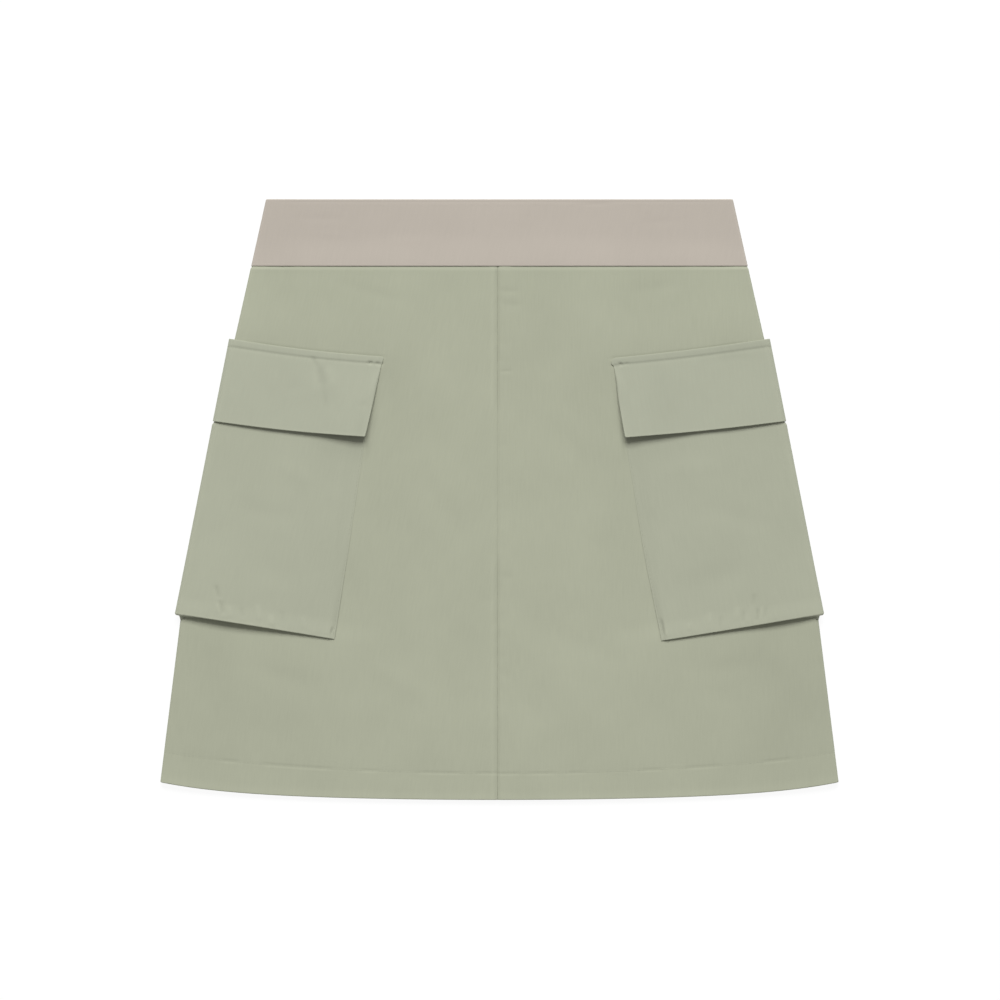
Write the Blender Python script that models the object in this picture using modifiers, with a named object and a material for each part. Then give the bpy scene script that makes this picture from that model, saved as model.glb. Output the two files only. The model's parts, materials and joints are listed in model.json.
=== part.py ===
"""Cargo utility skirt, laid flat on its back.

A pull-on skirt: a wide band, two front panels with a seam down the middle, and one back panel.
A bag pocket with a flap over it wraps round each side, from the front to the back.
+X runs across the skirt, +Y towards the waist and +Z up, in metres. The floor is at Z = 0 and
the origin is under the middle of the outline. "Down" is measured from the band's top edge
towards the hem, and "out" from the middle of the skirt towards its side.
"""

import math

import bpy

# Cloth
GAP = 0.0003  # between pieces at a seam, and between layers that touch
CLOTH = 0.0010  # one layer
HEM_WALL = 0.0016  # the turned-up hem, two layers pressed together
FLAP_WALL = 0.0016  # the flap is made double
BAND_WALL = 0.0018  # the band is double, with a stiff layer between

# Outline of the skirt, at the outside of the cloth
LENGTH = 0.4516  # from the band's top edge to the lowest point of the hem
BAND_DEPTH = 0.0505
WAIST_HALF = 0.1756  # half the width of the band's top edge
UPPER_FLARE = 0.2220  # how much the side goes out for each metre down, above the hip
LOWER_FLARE = 0.1254  # and below it
HIP_DOWN = 0.2540
HIP_BEND = 0.0620  # the flare changes over this much above and below the hip
HEM_HALF = 0.2550
HEM_BOW = 0.0069  # the hem curves up towards the sides by this much
HEM_CORNER = 0.0065  # and turns up by this much more close to its corners
CENTRE_SEAM = -0.0014  # the front's middle seam lies just to the left of the middle

# Rows that the pieces share, counted down the skirt: 0 is the band's seam, 1 the flap's top,
# 2 the flap's lower edge, 3 the pocket's lower edge and 4 the hem. Parts lie in between.
FLAP_TOP = 1
FLAP_EDGE = 2
POCKET_EDGE = 3
POCKET_MOUTH = 1.12  # the pocket's top edge, hidden under the flap
HEM_TOP = 3.82  # where the turned-up hem ends
ROWS_ABOVE = (0, 0.3, 0.6, 0.88)
ROWS_FLAP = (FLAP_TOP, POCKET_MOUTH, 1.35, 1.65, 1.85, FLAP_EDGE)
ROWS_POCKET = (2.05, 2.2, 2.45, 2.7, 2.9, POCKET_EDGE)
ROWS_BELOW = (3.065, 3.3, 3.6, HEM_TOP - 0.01, HEM_TOP + 0.01, 4)

# Each row's ends: (out, down) at the outer edge, and at the pocket's edge nearer the middle.
# The two sides differ a little, and the half underneath is the same on both.
OUTER = ((0.1866, 0.0505), (0.2032, 0.1049), (0.2154, 0.1670), (0.2439, 0.3115), (0.2550, 0.4382))
INNER = {
    "left": ((0.0780, 0.0505), (0.0870, 0.1184), (0.1006, 0.1788), (0.1240, 0.3310), (0.1400, 0.4496)),
    "right": ((0.0780, 0.0505), (0.0838, 0.1196), (0.0940, 0.1794), (0.1217, 0.3322), (0.1400, 0.4496)),
    "back": ((0.0780, 0.0505), (0.0854, 0.1190), (0.0973, 0.1791), (0.1229, 0.3316), (0.1400, 0.4496)),
}
ROW_BOW = 0.0009  # the flap's and pocket's lower edges sag by this much

# Stations round half the skirt: 0 is the middle of the front, 1 the pocket's front edge, 2 to 3
# the fold at the side with its seam at 2.5, 4 the pocket's back edge and 5 the middle of the back.
SEAM = 2.5
BODY_STATIONS = (0, 0.33, 0.66, 0.93)
POCKET_STATIONS = (1, 1.1, 1.3, 1.5, 1.7, 1.88, 2)
FOLD = {  # station: how far out and how far up the fold is, as shares of its size
    2.0: (0.00, 1.00),
    2.2: (0.62, 0.83),
    2.4: (1.00, 0.34),
    2.5: (1.00, 0.00),
    2.6: (1.00, -0.34),
    2.8: (0.62, -0.83),
    3.0: (0.00, -1.00),
}
FOLD_OUT = 0.0025  # how far the side goes out past the start of its fold
DRAWN_IN = 0.0012  # the pocket draws the side in by up to this much

# Heights
MIDDLE_THICK = 0.0028  # both layers of the skirt, laid on each other
EDGE_THICK = 0.0038  # at the band's seam and at the hem
BAND_THICK = 0.0042
SIDE_THICK = 0.0050  # the fold at the side
POCKET_STAND = GAP + CLOTH  # the pocket's outer face above what it lies on
FLAP_STAND = GAP + FLAP_WALL
RETURN_ROOM = 0.0006  # the least that the pocket's lower edge is raised, for the wall that closes it
# How soon the cloth comes down round the pocket and the flap: share of a station, or of a row
RISE = {
    "back": {"beside": 0.07, "above": 0.12, "below_flap": 0.05, "below_pocket": 0.065},
    "front": {"beside": 0.45, "above": 0.60, "below_flap": 0.50, "below_pocket": 0.35},
}

# How far the lower edges of the pockets and flaps are lifted on the front, at each station
LIFT_COLUMNS = ("station", "pocket_left", "pocket_right", "flap_left", "flap_right")
LIFT = (
    (1.00, 0.0006, 0.0006, 0.0052, 0.0046),
    (1.10, 0.0007, 0.0007, 0.0047, 0.0040),
    (1.30, 0.0012, 0.0010, 0.0022, 0.0024),
    (1.50, 0.0021, 0.0014, 0.0014, 0.0013),
    (1.70, 0.0028, 0.0020, 0.0011, 0.0014),
    (1.88, 0.0020, 0.0024, 0.0007, 0.0009),
    (2.00, 0.0015, 0.0016, 0.0004, 0.0005),
)

SIGN = {"left": -1, "right": 1}
SAGE = (173, 176, 156)
TAUPE = (188, 180, 169)


def ease(value, start, end):
    """0 before start, 1 past end, and a smooth rise between them."""
    share = min(max((value - start) / (end - start), 0.0), 1.0)
    return share * share * (3 - 2 * share)


def mix(first, second, share):
    return first + (second - first) * share


def side_out(down):
    """Half the width of the skirt at its side fold."""
    past = min(max((down - HIP_DOWN + HIP_BEND) / (2 * HIP_BEND), 0.0), 1.0)
    eased = max(down - HIP_DOWN - HIP_BEND, 0.0) + HIP_BEND * past * past
    pocket_top, pocket_end = OUTER[FLAP_TOP][1], OUTER[POCKET_EDGE][1]
    held = min(max((down - pocket_top) / (pocket_end - pocket_top), 0.0), 1.0)
    drawn = DRAWN_IN * math.sin(math.pi * held) ** 2
    return WAIST_HALF + UPPER_FLARE * down - (UPPER_FLARE - LOWER_FLARE) * eased - drawn


def whole_row_down(shape, row, out):
    """How far down one of the five whole rows lies, at a distance out from the middle."""
    if row == 0:
        return BAND_DEPTH + GAP / 2
    if row == 4:
        share = out / HEM_HALF
        return LENGTH - HEM_BOW * share**2 - HEM_CORNER * share**6
    inner_out, inner_down = INNER[shape][row]
    outer_out, outer_down = OUTER[row]
    slope = (outer_down - inner_down) / (outer_out - inner_out)
    if out < inner_out:
        return inner_down - slope * (inner_out**2 - out**2) / (2 * inner_out)
    share = min((out - inner_out) / (outer_out - inner_out), 1.0)
    return inner_down + slope * (out - inner_out) + ROW_BOW * math.sin(math.pi * share)


def row_down(shape, row, out):
    above = min(int(row), 3)
    return mix(whole_row_down(shape, above, out), whole_row_down(shape, above + 1, out), row - above)


def table_out(table, row):
    above = min(int(row), 3)
    return mix(table[above][0], table[above + 1][0], row - above)


def fold_start(row):
    """How far out the side's fold starts, where the side meets the row."""
    out = table_out(OUTER, row)
    for _ in range(4):
        out = side_out(row_down("back", row, out))
    return out - FOLD_OUT


def out_at(shape, row, station):
    """How far out a station on the front or the back is, counted from the middle."""
    inner = table_out(INNER[shape], row)
    if station > 1:
        return mix(inner, fold_start(row), station - 1)
    return inner * station


def under(layer, row, station):
    """How high the pocket and flap underneath hold the cloth, for the back or the front layer."""
    rise = RISE[layer]
    beside = ease(station, 1 - rise["beside"], 1)
    past_pocket = ease(row, POCKET_EDGE, POCKET_EDGE + rise["below_pocket"])
    pocket = ease(row, POCKET_MOUTH - rise["above"], POCKET_MOUTH) * (1 - past_pocket)
    past_flap = ease(row, FLAP_EDGE, FLAP_EDGE + rise["below_flap"])
    flap = ease(row, FLAP_TOP - rise["above"], FLAP_TOP) * (1 - past_flap)
    room = ease(row, 2.9, POCKET_EDGE) * (1 - past_pocket)
    return beside * (pocket * POCKET_STAND + flap * FLAP_STAND + room * RETURN_ROOM)


def front_height(row, station):
    """The front's outer face above the floor."""
    at_edge = max(1 - ease(row, 0, 0.6), ease(row, 3.3, HEM_TOP - 0.02))
    thick = mix(MIDDLE_THICK, EDGE_THICK, at_edge)
    return under("front", row, station) + mix(thick, SIDE_THICK, ease(station, 1.5, 2))


def place(side, row, station, stand=0.0, reach=0.0, seam=0):
    """A point on the skirt, or standing off it: by stand over the front and under the back, and
    by reach out at the fold. seam is 1 or -1 on the front's or the back's edge at the side."""
    if station <= 2:
        out = out_at(side, row, station)
        down = row_down(side, row, out)
        height = front_height(row, station) + stand
    elif station >= 3:
        out = out_at("back", row, 5 - station)
        down = row_down("back", row, out)
        height = under("back", row, 5 - station) - stand
    else:
        across, up = FOLD[station]
        out = fold_start(row) + across * (FOLD_OUT + reach)
        down = mix(row_down(side, row, out), row_down("back", row, out), station - 2)
        top = front_height(row, 2) + stand
        bottom = under("back", row, 2) - stand
        height = (top + bottom) / 2 + up * (top - bottom) / 2 + seam * GAP / 2
    return (SIGN[side] * out, LENGTH / 2 - down, height)


def lift(column, station):
    """How far a lower edge is lifted at a station on the front."""
    index = LIFT_COLUMNS.index(column)
    for first, second in zip(LIFT, LIFT[1:]):
        if station <= second[0]:
            share = max((station - first[0]) / (second[0] - first[0]), 0.0)
            return mix(first[index], second[index], share)
    return LIFT[-1][index]


def new_sheet(name, rows, wall, colour, hem_from=None):
    """A piece of cloth from rows of points on its outer face, made thick inwards. Rows from
    hem_from on have the hem's double wall."""
    width = len(rows[0])
    points = [point for row in rows for point in row]
    faces = []
    for r in range(len(rows) - 1):
        for c in range(width - 1):
            corner = r * width + c
            faces.append((corner, corner + width, corner + width + 1, corner + 1))
    mesh = bpy.data.meshes.new(name)
    mesh.from_pydata(points, [], faces)
    piece = bpy.data.objects.new(name, mesh)
    skirt.objects.link(piece)
    solidify = piece.modifiers.new("cloth", "SOLIDIFY")
    solidify.offset = -1
    solidify.use_even_offset = True
    solidify.use_quality_normals = True
    solidify.thickness = wall
    if hem_from is not None:
        group = piece.vertex_groups.new(name="hem")
        group.add(list(range(hem_from * width, len(points))), 1.0, "REPLACE")
        solidify.thickness = HEM_WALL
        solidify.vertex_group = "hem"
        solidify.thickness_vertex_group = wall / HEM_WALL
    piece.data.materials.append(new_material(name, colour))
    return piece


def new_material(name, colour):
    material = bpy.data.materials.new(name + "_cloth")
    material.use_nodes = True
    shader = material.node_tree.nodes["Principled BSDF"]
    linear = [((value / 255 + 0.055) / 1.055) ** 2.4 for value in colour]
    shader.inputs["Base Color"].default_value = (*linear, 1)
    shader.inputs["Roughness"].default_value = 0.85
    shader.inputs["Metallic"].default_value = 0
    return material


def across(side, stations):
    """Stations in the order that keeps the outer face outwards on that side."""
    return stations if side == "right" else stations[::-1]


def body_rows():
    return ROWS_ABOVE + ROWS_FLAP + ROWS_POCKET + ROWS_BELOW


def hem_start():
    return len(body_rows()) - 2


def make_front(side):
    """A front panel, from the middle seam to the side seam."""
    edge = CENTRE_SEAM + SIGN[side] * GAP / 2
    stations = across(side, BODY_STATIONS + POCKET_STATIONS + (2.2, 2.4, SEAM))
    rows = []
    for row in body_rows():
        line = []
        for station in stations:
            x, y, z = place(side, row, station, seam=1 if station == SEAM else 0)
            if station < 1:
                x = mix(edge, x / station, station) if station else edge
            line.append((x, y, z))
        rows.append(line)
    new_sheet("front_" + side, rows, CLOTH, SAGE, hem_start())


def make_back():
    """The back panel, from side seam to side seam."""
    half = (SEAM, 2.6, 2.8) + tuple(5 - s for s in (BODY_STATIONS + POCKET_STATIONS)[::-1])
    rows = []
    for row in body_rows():
        line = []
        for side, stations in (("right", half), ("left", half[-2::-1])):
            for station in stations:
                line.append(place(side, row, station, seam=-1 if station == SEAM else 0))
        rows.append(line)
    new_sheet("back", rows, CLOTH, SAGE, hem_start())


def band_point(side, down, station, layer):
    """A point on the front or the back layer of the band."""
    start = side_out(down) - FOLD_OUT
    height = mix(BAND_THICK, SIDE_THICK, ease(station, 1.5, 2)) if layer > 0 else 0.0
    out = start * min(station, 2) / 2
    if station > 2:
        share, up = FOLD[station]
        out = start + share * FOLD_OUT
        height = SIDE_THICK / 2 * (1 + layer * up)
        if station == SEAM:
            height += layer * GAP / 2
    return (SIGN[side] * out, LENGTH / 2 - down, height)


def make_band(name, layer):
    """The front or the back of the band. layer is 1 on top and -1 underneath."""
    half = (0, 0.5, 1, 1.5, 1.88, 2, 2.2, 2.4, SEAM)
    first, second = ("left", "right") if layer > 0 else ("right", "left")
    depth = BAND_DEPTH - GAP / 2
    rows = []
    for down in (0, depth / 3, depth * 2 / 3, depth):
        line = [band_point(first, down, station, layer) for station in half[::-1]]
        line += [band_point(second, down, station, layer) for station in half[1:]]
        rows.append(line)
    new_sheet(name, rows, BAND_WALL, TAUPE)


def wrap_stations(side):
    """Stations of a pocket or a flap, from its front edge round the side to its back edge."""
    back = tuple(5 - station for station in POCKET_STATIONS[::-1])
    return across(side, POCKET_STATIONS[:-1] + (2.0, 2.2, 2.4, 2.6, 2.8, 3.0) + back[1:])


def make_pocket(side):
    """A bag pocket. Its lower edge is raised, and a short wall there closes it to the skirt."""
    rows = []
    for row in ROWS_FLAP[1:] + ROWS_POCKET:
        covered = 1 - ease(row, FLAP_EDGE, 2.2)
        reach = table_out(OUTER, row) - covered * FLAP_STAND - fold_start(row) - FOLD_OUT
        line = []
        for station in wrap_stations(side):
            raised = lift("pocket_" + side, station) * ease(row, 2.45, POCKET_EDGE)
            if station >= SEAM:
                raised = RETURN_ROOM * ease(row, 2.9, POCKET_EDGE)
            line.append(place(side, row, station, POCKET_STAND + raised, reach))
        rows.append(line)
    closing = [place(side, POCKET_EDGE, station, GAP, GAP) for station in wrap_stations(side)]
    new_sheet("pocket_" + side, rows + [closing], CLOTH, SAGE)


def make_flap(side):
    """A pocket flap, flat at its top seam and lifted along its lower edge."""
    rows = []
    for row in ROWS_FLAP:
        reach = table_out(OUTER, row) - fold_start(row) - FOLD_OUT
        stand = FLAP_STAND + POCKET_STAND * ease(row, FLAP_TOP, POCKET_MOUTH)
        curl = max((row - POCKET_MOUTH) / (FLAP_EDGE - POCKET_MOUTH), 0.0) ** 2
        line = []
        for station in wrap_stations(side):
            raised = lift("flap_" + side, station) * curl if station < SEAM else 0.0
            line.append(place(side, row, station, stand + raised, reach))
        rows.append(line)
    new_sheet("flap_" + side, rows, FLAP_WALL, SAGE)


for thing in list(bpy.data.objects):
    bpy.data.objects.remove(thing)
skirt = bpy.data.collections.new("cargo_skirt")
bpy.context.scene.collection.children.link(skirt)

make_band("waistband_front", 1)
make_band("waistband_back", -1)
make_back()
for each_side in ("left", "right"):
    make_front(each_side)
    make_pocket(each_side)
    make_flap(each_side)
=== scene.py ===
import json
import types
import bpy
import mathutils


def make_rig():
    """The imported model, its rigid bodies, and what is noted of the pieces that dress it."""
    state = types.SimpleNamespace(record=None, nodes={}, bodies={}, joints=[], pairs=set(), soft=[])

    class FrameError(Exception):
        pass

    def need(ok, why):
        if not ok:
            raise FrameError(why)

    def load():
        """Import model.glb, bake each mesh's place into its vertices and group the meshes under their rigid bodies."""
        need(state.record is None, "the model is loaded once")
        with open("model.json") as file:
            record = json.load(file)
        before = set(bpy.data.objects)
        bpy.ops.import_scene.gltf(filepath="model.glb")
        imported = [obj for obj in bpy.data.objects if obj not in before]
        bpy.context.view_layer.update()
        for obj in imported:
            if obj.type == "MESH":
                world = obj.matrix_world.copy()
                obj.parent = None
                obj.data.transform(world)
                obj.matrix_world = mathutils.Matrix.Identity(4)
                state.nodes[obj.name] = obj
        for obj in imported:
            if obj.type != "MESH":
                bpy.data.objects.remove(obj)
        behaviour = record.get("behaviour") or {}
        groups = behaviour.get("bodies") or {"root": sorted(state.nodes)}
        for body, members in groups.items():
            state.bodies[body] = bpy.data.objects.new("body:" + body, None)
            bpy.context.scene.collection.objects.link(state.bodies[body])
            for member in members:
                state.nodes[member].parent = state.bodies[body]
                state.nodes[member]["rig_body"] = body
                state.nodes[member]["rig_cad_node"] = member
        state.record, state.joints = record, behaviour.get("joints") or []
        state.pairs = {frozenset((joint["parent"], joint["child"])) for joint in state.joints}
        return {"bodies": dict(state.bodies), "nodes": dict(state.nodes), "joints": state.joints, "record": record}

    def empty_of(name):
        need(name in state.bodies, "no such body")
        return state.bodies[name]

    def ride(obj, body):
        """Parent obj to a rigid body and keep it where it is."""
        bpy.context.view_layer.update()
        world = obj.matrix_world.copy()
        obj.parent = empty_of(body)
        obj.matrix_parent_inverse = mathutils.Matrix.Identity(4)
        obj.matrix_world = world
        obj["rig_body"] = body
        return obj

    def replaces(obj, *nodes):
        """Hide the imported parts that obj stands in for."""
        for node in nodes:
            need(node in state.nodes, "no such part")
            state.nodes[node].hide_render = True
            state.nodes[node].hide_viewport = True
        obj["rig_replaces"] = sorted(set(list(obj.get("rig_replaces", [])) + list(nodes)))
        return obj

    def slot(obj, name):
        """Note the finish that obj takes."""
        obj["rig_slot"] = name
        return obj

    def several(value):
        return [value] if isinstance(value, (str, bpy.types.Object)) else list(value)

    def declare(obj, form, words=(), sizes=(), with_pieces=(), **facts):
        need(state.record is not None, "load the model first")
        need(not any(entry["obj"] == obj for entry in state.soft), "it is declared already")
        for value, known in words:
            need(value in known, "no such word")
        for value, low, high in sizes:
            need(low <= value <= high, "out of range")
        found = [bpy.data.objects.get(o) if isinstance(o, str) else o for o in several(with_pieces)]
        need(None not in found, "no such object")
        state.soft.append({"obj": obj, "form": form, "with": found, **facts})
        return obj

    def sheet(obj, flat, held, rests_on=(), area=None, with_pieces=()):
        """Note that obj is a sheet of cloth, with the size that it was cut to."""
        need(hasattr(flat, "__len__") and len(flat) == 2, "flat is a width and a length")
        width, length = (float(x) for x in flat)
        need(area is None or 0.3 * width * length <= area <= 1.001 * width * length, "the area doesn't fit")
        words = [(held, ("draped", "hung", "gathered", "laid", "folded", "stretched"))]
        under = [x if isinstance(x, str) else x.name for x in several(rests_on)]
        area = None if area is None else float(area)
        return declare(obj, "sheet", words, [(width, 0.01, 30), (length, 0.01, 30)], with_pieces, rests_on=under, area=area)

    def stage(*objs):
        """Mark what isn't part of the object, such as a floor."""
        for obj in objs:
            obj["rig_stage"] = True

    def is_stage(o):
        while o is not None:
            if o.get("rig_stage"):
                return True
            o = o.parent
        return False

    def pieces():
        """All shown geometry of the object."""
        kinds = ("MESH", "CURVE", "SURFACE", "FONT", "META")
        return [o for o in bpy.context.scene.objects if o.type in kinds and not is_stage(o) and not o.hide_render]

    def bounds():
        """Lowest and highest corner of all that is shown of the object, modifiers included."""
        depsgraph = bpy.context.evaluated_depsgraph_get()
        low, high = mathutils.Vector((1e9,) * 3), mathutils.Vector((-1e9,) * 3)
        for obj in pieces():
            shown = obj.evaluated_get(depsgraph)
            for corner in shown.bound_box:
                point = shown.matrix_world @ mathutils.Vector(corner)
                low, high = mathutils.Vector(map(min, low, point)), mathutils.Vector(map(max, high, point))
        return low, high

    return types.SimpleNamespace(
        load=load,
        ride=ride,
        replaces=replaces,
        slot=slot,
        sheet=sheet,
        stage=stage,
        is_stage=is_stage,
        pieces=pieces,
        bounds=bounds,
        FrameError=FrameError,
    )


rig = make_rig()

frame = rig.load()
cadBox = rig.bounds()

import json
import math
import random

import bmesh
import bpy
from mathutils import Matrix, Vector

mm = 0.001
sides = ("left", "right")
sign = {"left": -1, "right": 1}
leastEdge = 0.05  # the share of a wall's thickness that is left right at its edge

# The skirt lies on its back: x across, y up towards the waist, z up off the floor.
# "Down" runs from the band's top edge to the hem, "out" from the middle to the side.
# Rows: 0 band seam, 1 flap's top, 2 flap's lower edge, 3 pocket's lower edge, 4 hem.
# Stations round one half: 0 middle of the front, 1 pocket's front edge, 2 to 3 the side
# fold with its seam at 2.5, 4 pocket's back edge, 5 middle of the back.
skirt = {
    "length": 0.4516,
    "bandDepth": 0.0505,
    "seamRoom": 0.15 * mm,  # between the band's seam and the cloth on either side of it
    "waistHalf": 0.1756,
    "upperFlare": 0.2220,
    "lowerFlare": 0.1254,
    "hipDown": 0.2540,
    "hipBend": 0.0620,
    "hemHalf": 0.2550,
    "hemBow": 0.0069,
    "hemCorner": 0.0065,
    "middleSeam": -0.0014,
    # out and down of each row, at the side and at the pocket's inner edge
    "outer": ((.1866, .0505), (.2032, .1049), (.2154, .1670), (.2439, .3115), (.2550, .4382)),
    "inner": {
        "left": ((.0780, .0505), (.0870, .1184), (.1006, .1788), (.1240, .3310), (.1400, .4496)),
        "right": ((.0780, .0505), (.0838, .1196), (.0940, .1794), (.1217, .3322), (.1400, .4496)),
        "back": ((.0780, .0505), (.0854, .1190), (.0973, .1791), (.1229, .3316), (.1400, .4496)),
    },
    "rowBow": {
        "left": (0, 1.5 * mm, 1.3 * mm, -0.3 * mm),
        "right": (0, 0.9 * mm, 0.9 * mm, 0.3 * mm),
        "back": (0, 0.9 * mm, 1.1 * mm, 0.2 * mm),
    },
    "innerWide": 0.105,  # about how wide the cloth is from station 0 to 1
    "outerWide": 0.11,  # and from 1 to 2
    "foldOut": 0.0025,
    "drawnIn": 0.0012,
    "middleThick": 0.0032,  # how high the front lies
    "topThick": 0.0040,
    "topTo": 1.1,
    "hemThick": 0.0038,
    "hemFrom": (3.3, 3.8),
    "bandThick": 0.0039,
    "sideThick": 0.0050,
    "sideFrom": 1.5,
    "pocketStand": 0.0013,
    "flapStand": 0.0019,
    "returnRoom": 0.0006,
    "mouthRow": 1.12,  # from here down the pocket holds the cloth up
    "roomRow": 2.9,  # and from here its closing wall too
    # how far the cloth rises towards what lies under it, in stations and rows
    "rise": {
        "back": {"beside": 0.07, "above": 0.12, "belowFlap": 0.05, "belowPocket": 0.065},
        "front": {"beside": 0.45, "above": 0.98, "belowFlap": 1.00, "belowPocket": 0.70},
    },
    "fineCrease": 4,  # mm wide at most
    "creaseLight": 0.15,  # painted light and shade on fine creases, for each mm of height
    # the whole skirt lies a little unevenly: x, down, width, length, height of each swell, in mm
    "swells": (
        (-55, 150, 50, 35, 0.21), (48, 225, 42, 60, 0.182), (-30, 300, 60, 40, 0.238),
        (75, 385, 55, 30, 0.21), (-150, 395, 50, 34, 0.224), (165, 250, 35, 50, 0.168),
        (-175, 230, 36, 44, 0.182), (190, 400, 34, 26, 0.154), (20, 95, 50, 20, 0.14),
        (-80, 425, 40, 18, 0.14),
    ),
}

rowLength = (0.072, 0.0605, 0.153, 0.1145)  # about how far each row is from the next


def between(value, start, end):
    return min(max((value - start) / (end - start), 0.0), 1.0)


def ease(value, start, end):
    # 0 before the start, 1 past the end
    share = between(value, start, end)
    return share * share * (3 - 2 * share)


def fade(value, start, end):
    # 1 before the start, 0 past the end
    return 1 - ease(value, start, end)


def within(value, start, full, less, end):
    # 0 up to the start, 1 between full and less, 0 past the end
    return ease(value, start, full) * fade(value, less, end)


def bell(distance, width):
    # 1 in the middle, falling off softly on both sides
    return math.exp(-((distance / width) ** 2))


def ridge(value, height, middle, width):
    return height * bell(value - middle, width)


def mix(first, second, share):
    return first + (second - first) * share


def sideOut(down):
    # half the width at the side fold
    bend = skirt["hipBend"]
    past = between(down, skirt["hipDown"] - bend, skirt["hipDown"] + bend)
    eased = max(down - skirt["hipDown"] - bend, 0.0) + bend * past * past
    beside = between(down, skirt["outer"][1][1], skirt["outer"][3][1])
    drawn = skirt["drawnIn"] * math.sin(math.pi * beside) ** 2
    upper, lower = skirt["upperFlare"], skirt["lowerFlare"]
    return skirt["waistHalf"] + upper * down - (upper - lower) * eased - drawn


def wholeRowDown(shape, row, out):
    if row == 0:
        return skirt["bandDepth"] + skirt["seamRoom"]
    if row == 4:
        share = out / skirt["hemHalf"]
        return skirt["length"] - skirt["hemBow"] * share**2 - skirt["hemCorner"] * share**6
    innerOut, innerDown = skirt["inner"][shape][row]
    outerOut, outerDown = skirt["outer"][row]
    slope = (outerDown - innerDown) / (outerOut - innerOut)
    if out < innerOut:
        return innerDown - slope * (innerOut**2 - out**2) / (2 * innerOut)
    share = min((out - innerOut) / (outerOut - innerOut), 1.0)
    bow = skirt["rowBow"][shape][row] * math.sin(math.pi * share)
    return innerDown + slope * (out - innerOut) + bow


def rowDown(shape, row, out):
    above = min(max(int(row), 0), 3)
    return mix(wholeRowDown(shape, above, out), wholeRowDown(shape, above + 1, out), row - above)


def tableOut(table, row):
    above = min(max(int(row), 0), 3)
    return mix(table[above][0], table[above + 1][0], row - above)


foldStarts = {}


def foldStart(row):
    # how far out the side's fold starts
    key = round(row, 6)
    if key not in foldStarts:
        out = tableOut(skirt["outer"], row)
        for _ in range(4):
            out = sideOut(rowDown("back", row, out))
        foldStarts[key] = out - skirt["foldOut"]
    return foldStarts[key]


def reachOut(row):
    # how far the pockets and flaps stand out past the skirt's side
    return tableOut(skirt["outer"], row) - foldStart(row) - skirt["foldOut"]


def under(layer, row, station):
    # how high the pocket and flap underneath hold the cloth
    rise, mouth = skirt["rise"][layer], skirt["mouthRow"]
    beside = ease(station, 1 - rise["beside"], 1)
    if beside == 0:
        return 0.0
    end = fade(row, 3, 3 + rise["belowPocket"])
    pocket = ease(row, mouth - rise["above"], mouth) * end
    flap = ease(row, 1 - rise["above"], 1) * fade(row, 2, 2 + rise["belowFlap"])
    room = ease(row, skirt["roomRow"], 3) * end
    return beside * (pocket * skirt["pocketStand"] + flap * skirt["flapStand"] + room * skirt["returnRoom"])


def swell(x, down):
    x, down, height = x / mm, down / mm, 0.0
    for midX, midDown, width, length, rise in skirt["swells"]:
        far = ((x - midX) / width) ** 2 + ((down - midDown) / length) ** 2
        if far < 6:
            height += rise * math.exp(-far)
    return height * mm


def frontHeight(row, station):
    thick = mix(skirt["topThick"], skirt["middleThick"], ease(row, 0, skirt["topTo"]))
    thick = mix(thick, skirt["hemThick"], ease(row, *skirt["hemFrom"]))
    return under("front", row, station) + mix(thick, skirt["sideThick"], ease(station, skirt["sideFrom"], 2))


def place(side, row, station, top=0.0, bottom=0.0, reach=0.0, shift=0.0, seam=None):
    # a point on the skirt, or standing off it by top, bottom and reach, and shifted down
    if station <= 2:
        inner = tableOut(skirt["inner"][side], row)
        out = mix(inner, foldStart(row), station - 1) if station > 1 else inner * station
        down = rowDown(side, row, out)
        x = sign[side] * out
        if seam is not None and station < 1:
            x = mix(seam, sign[side] * inner, station)
        height = frontHeight(row, station) + swell(x, down) + top
        return Vector((x, skirt["length"] / 2 - down - shift, height))
    if station >= 3:
        inner = tableOut(skirt["inner"]["back"], row)
        back = 5 - station
        out = mix(inner, foldStart(row), back - 1) if back > 1 else inner * back
        height = under("back", row, back) - bottom
        return Vector((sign[side] * out, skirt["length"] / 2 - rowDown("back", row, out) - shift, height))
    angle = math.pi * (station - 2)
    start = foldStart(row)
    out = start + math.sin(angle) * (skirt["foldOut"] + reach)
    down = mix(rowDown(side, row, out), rowDown("back", row, out), station - 2)
    high = frontHeight(row, 2) + swell(sign[side] * start, rowDown(side, row, start)) + top
    low = under("back", row, 2) - bottom
    height = (high + low) / 2 + math.cos(angle) * (high - low) / 2
    return Vector((sign[side] * out, skirt["length"] / 2 - down - shift, height))


def lies(side, row, station, seam=None):
    # where a point of the skirt lies, as x and down
    point = place(side, row, station, seam=seam)
    return point.x, skirt["length"] / 2 - point.y


def onTop(station):
    # 1 on the front, running out just before the side
    return fade(station, 1.8, 1.98)


def round01(distance, radius):
    # a rounded edge: 0 right at the edge, 1 from the radius inwards
    if distance >= radius:
        return 1.0
    share = 1 - max(distance, 0.0) / radius
    return math.sqrt(max(1 - share * share, 0.0))


def setIn(wall, edge, inside):
    # how far below the cloth's outer side a point of its inner or outer face lies
    edge = max(edge, leastEdge)
    return (1 + edge if inside else 1 - edge) * wall / 2


def creaseHeight(creases, x, down):
    # soft ridges and troughs that fade at their ends: x, down to x, down, width, height, all in mm
    x, down, height = x / mm, down / mm, 0.0
    for x1, down1, x2, down2, width, rise in creases:
        dx, dy = x2 - x1, down2 - down1
        length2 = dx * dx + dy * dy
        share = ((x - x1) * dx + (down - down1) * dy) / length2
        if share < -0.5 or share > 1.5:
            continue
        far = ((x - x1) * dy - (down - down1) * dx) ** 2 / length2 / width**2
        if far < 7:
            along = 2 * share - 1
            height += rise * math.exp(-far - 2.2 * along**4)
    return height * mm


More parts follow.
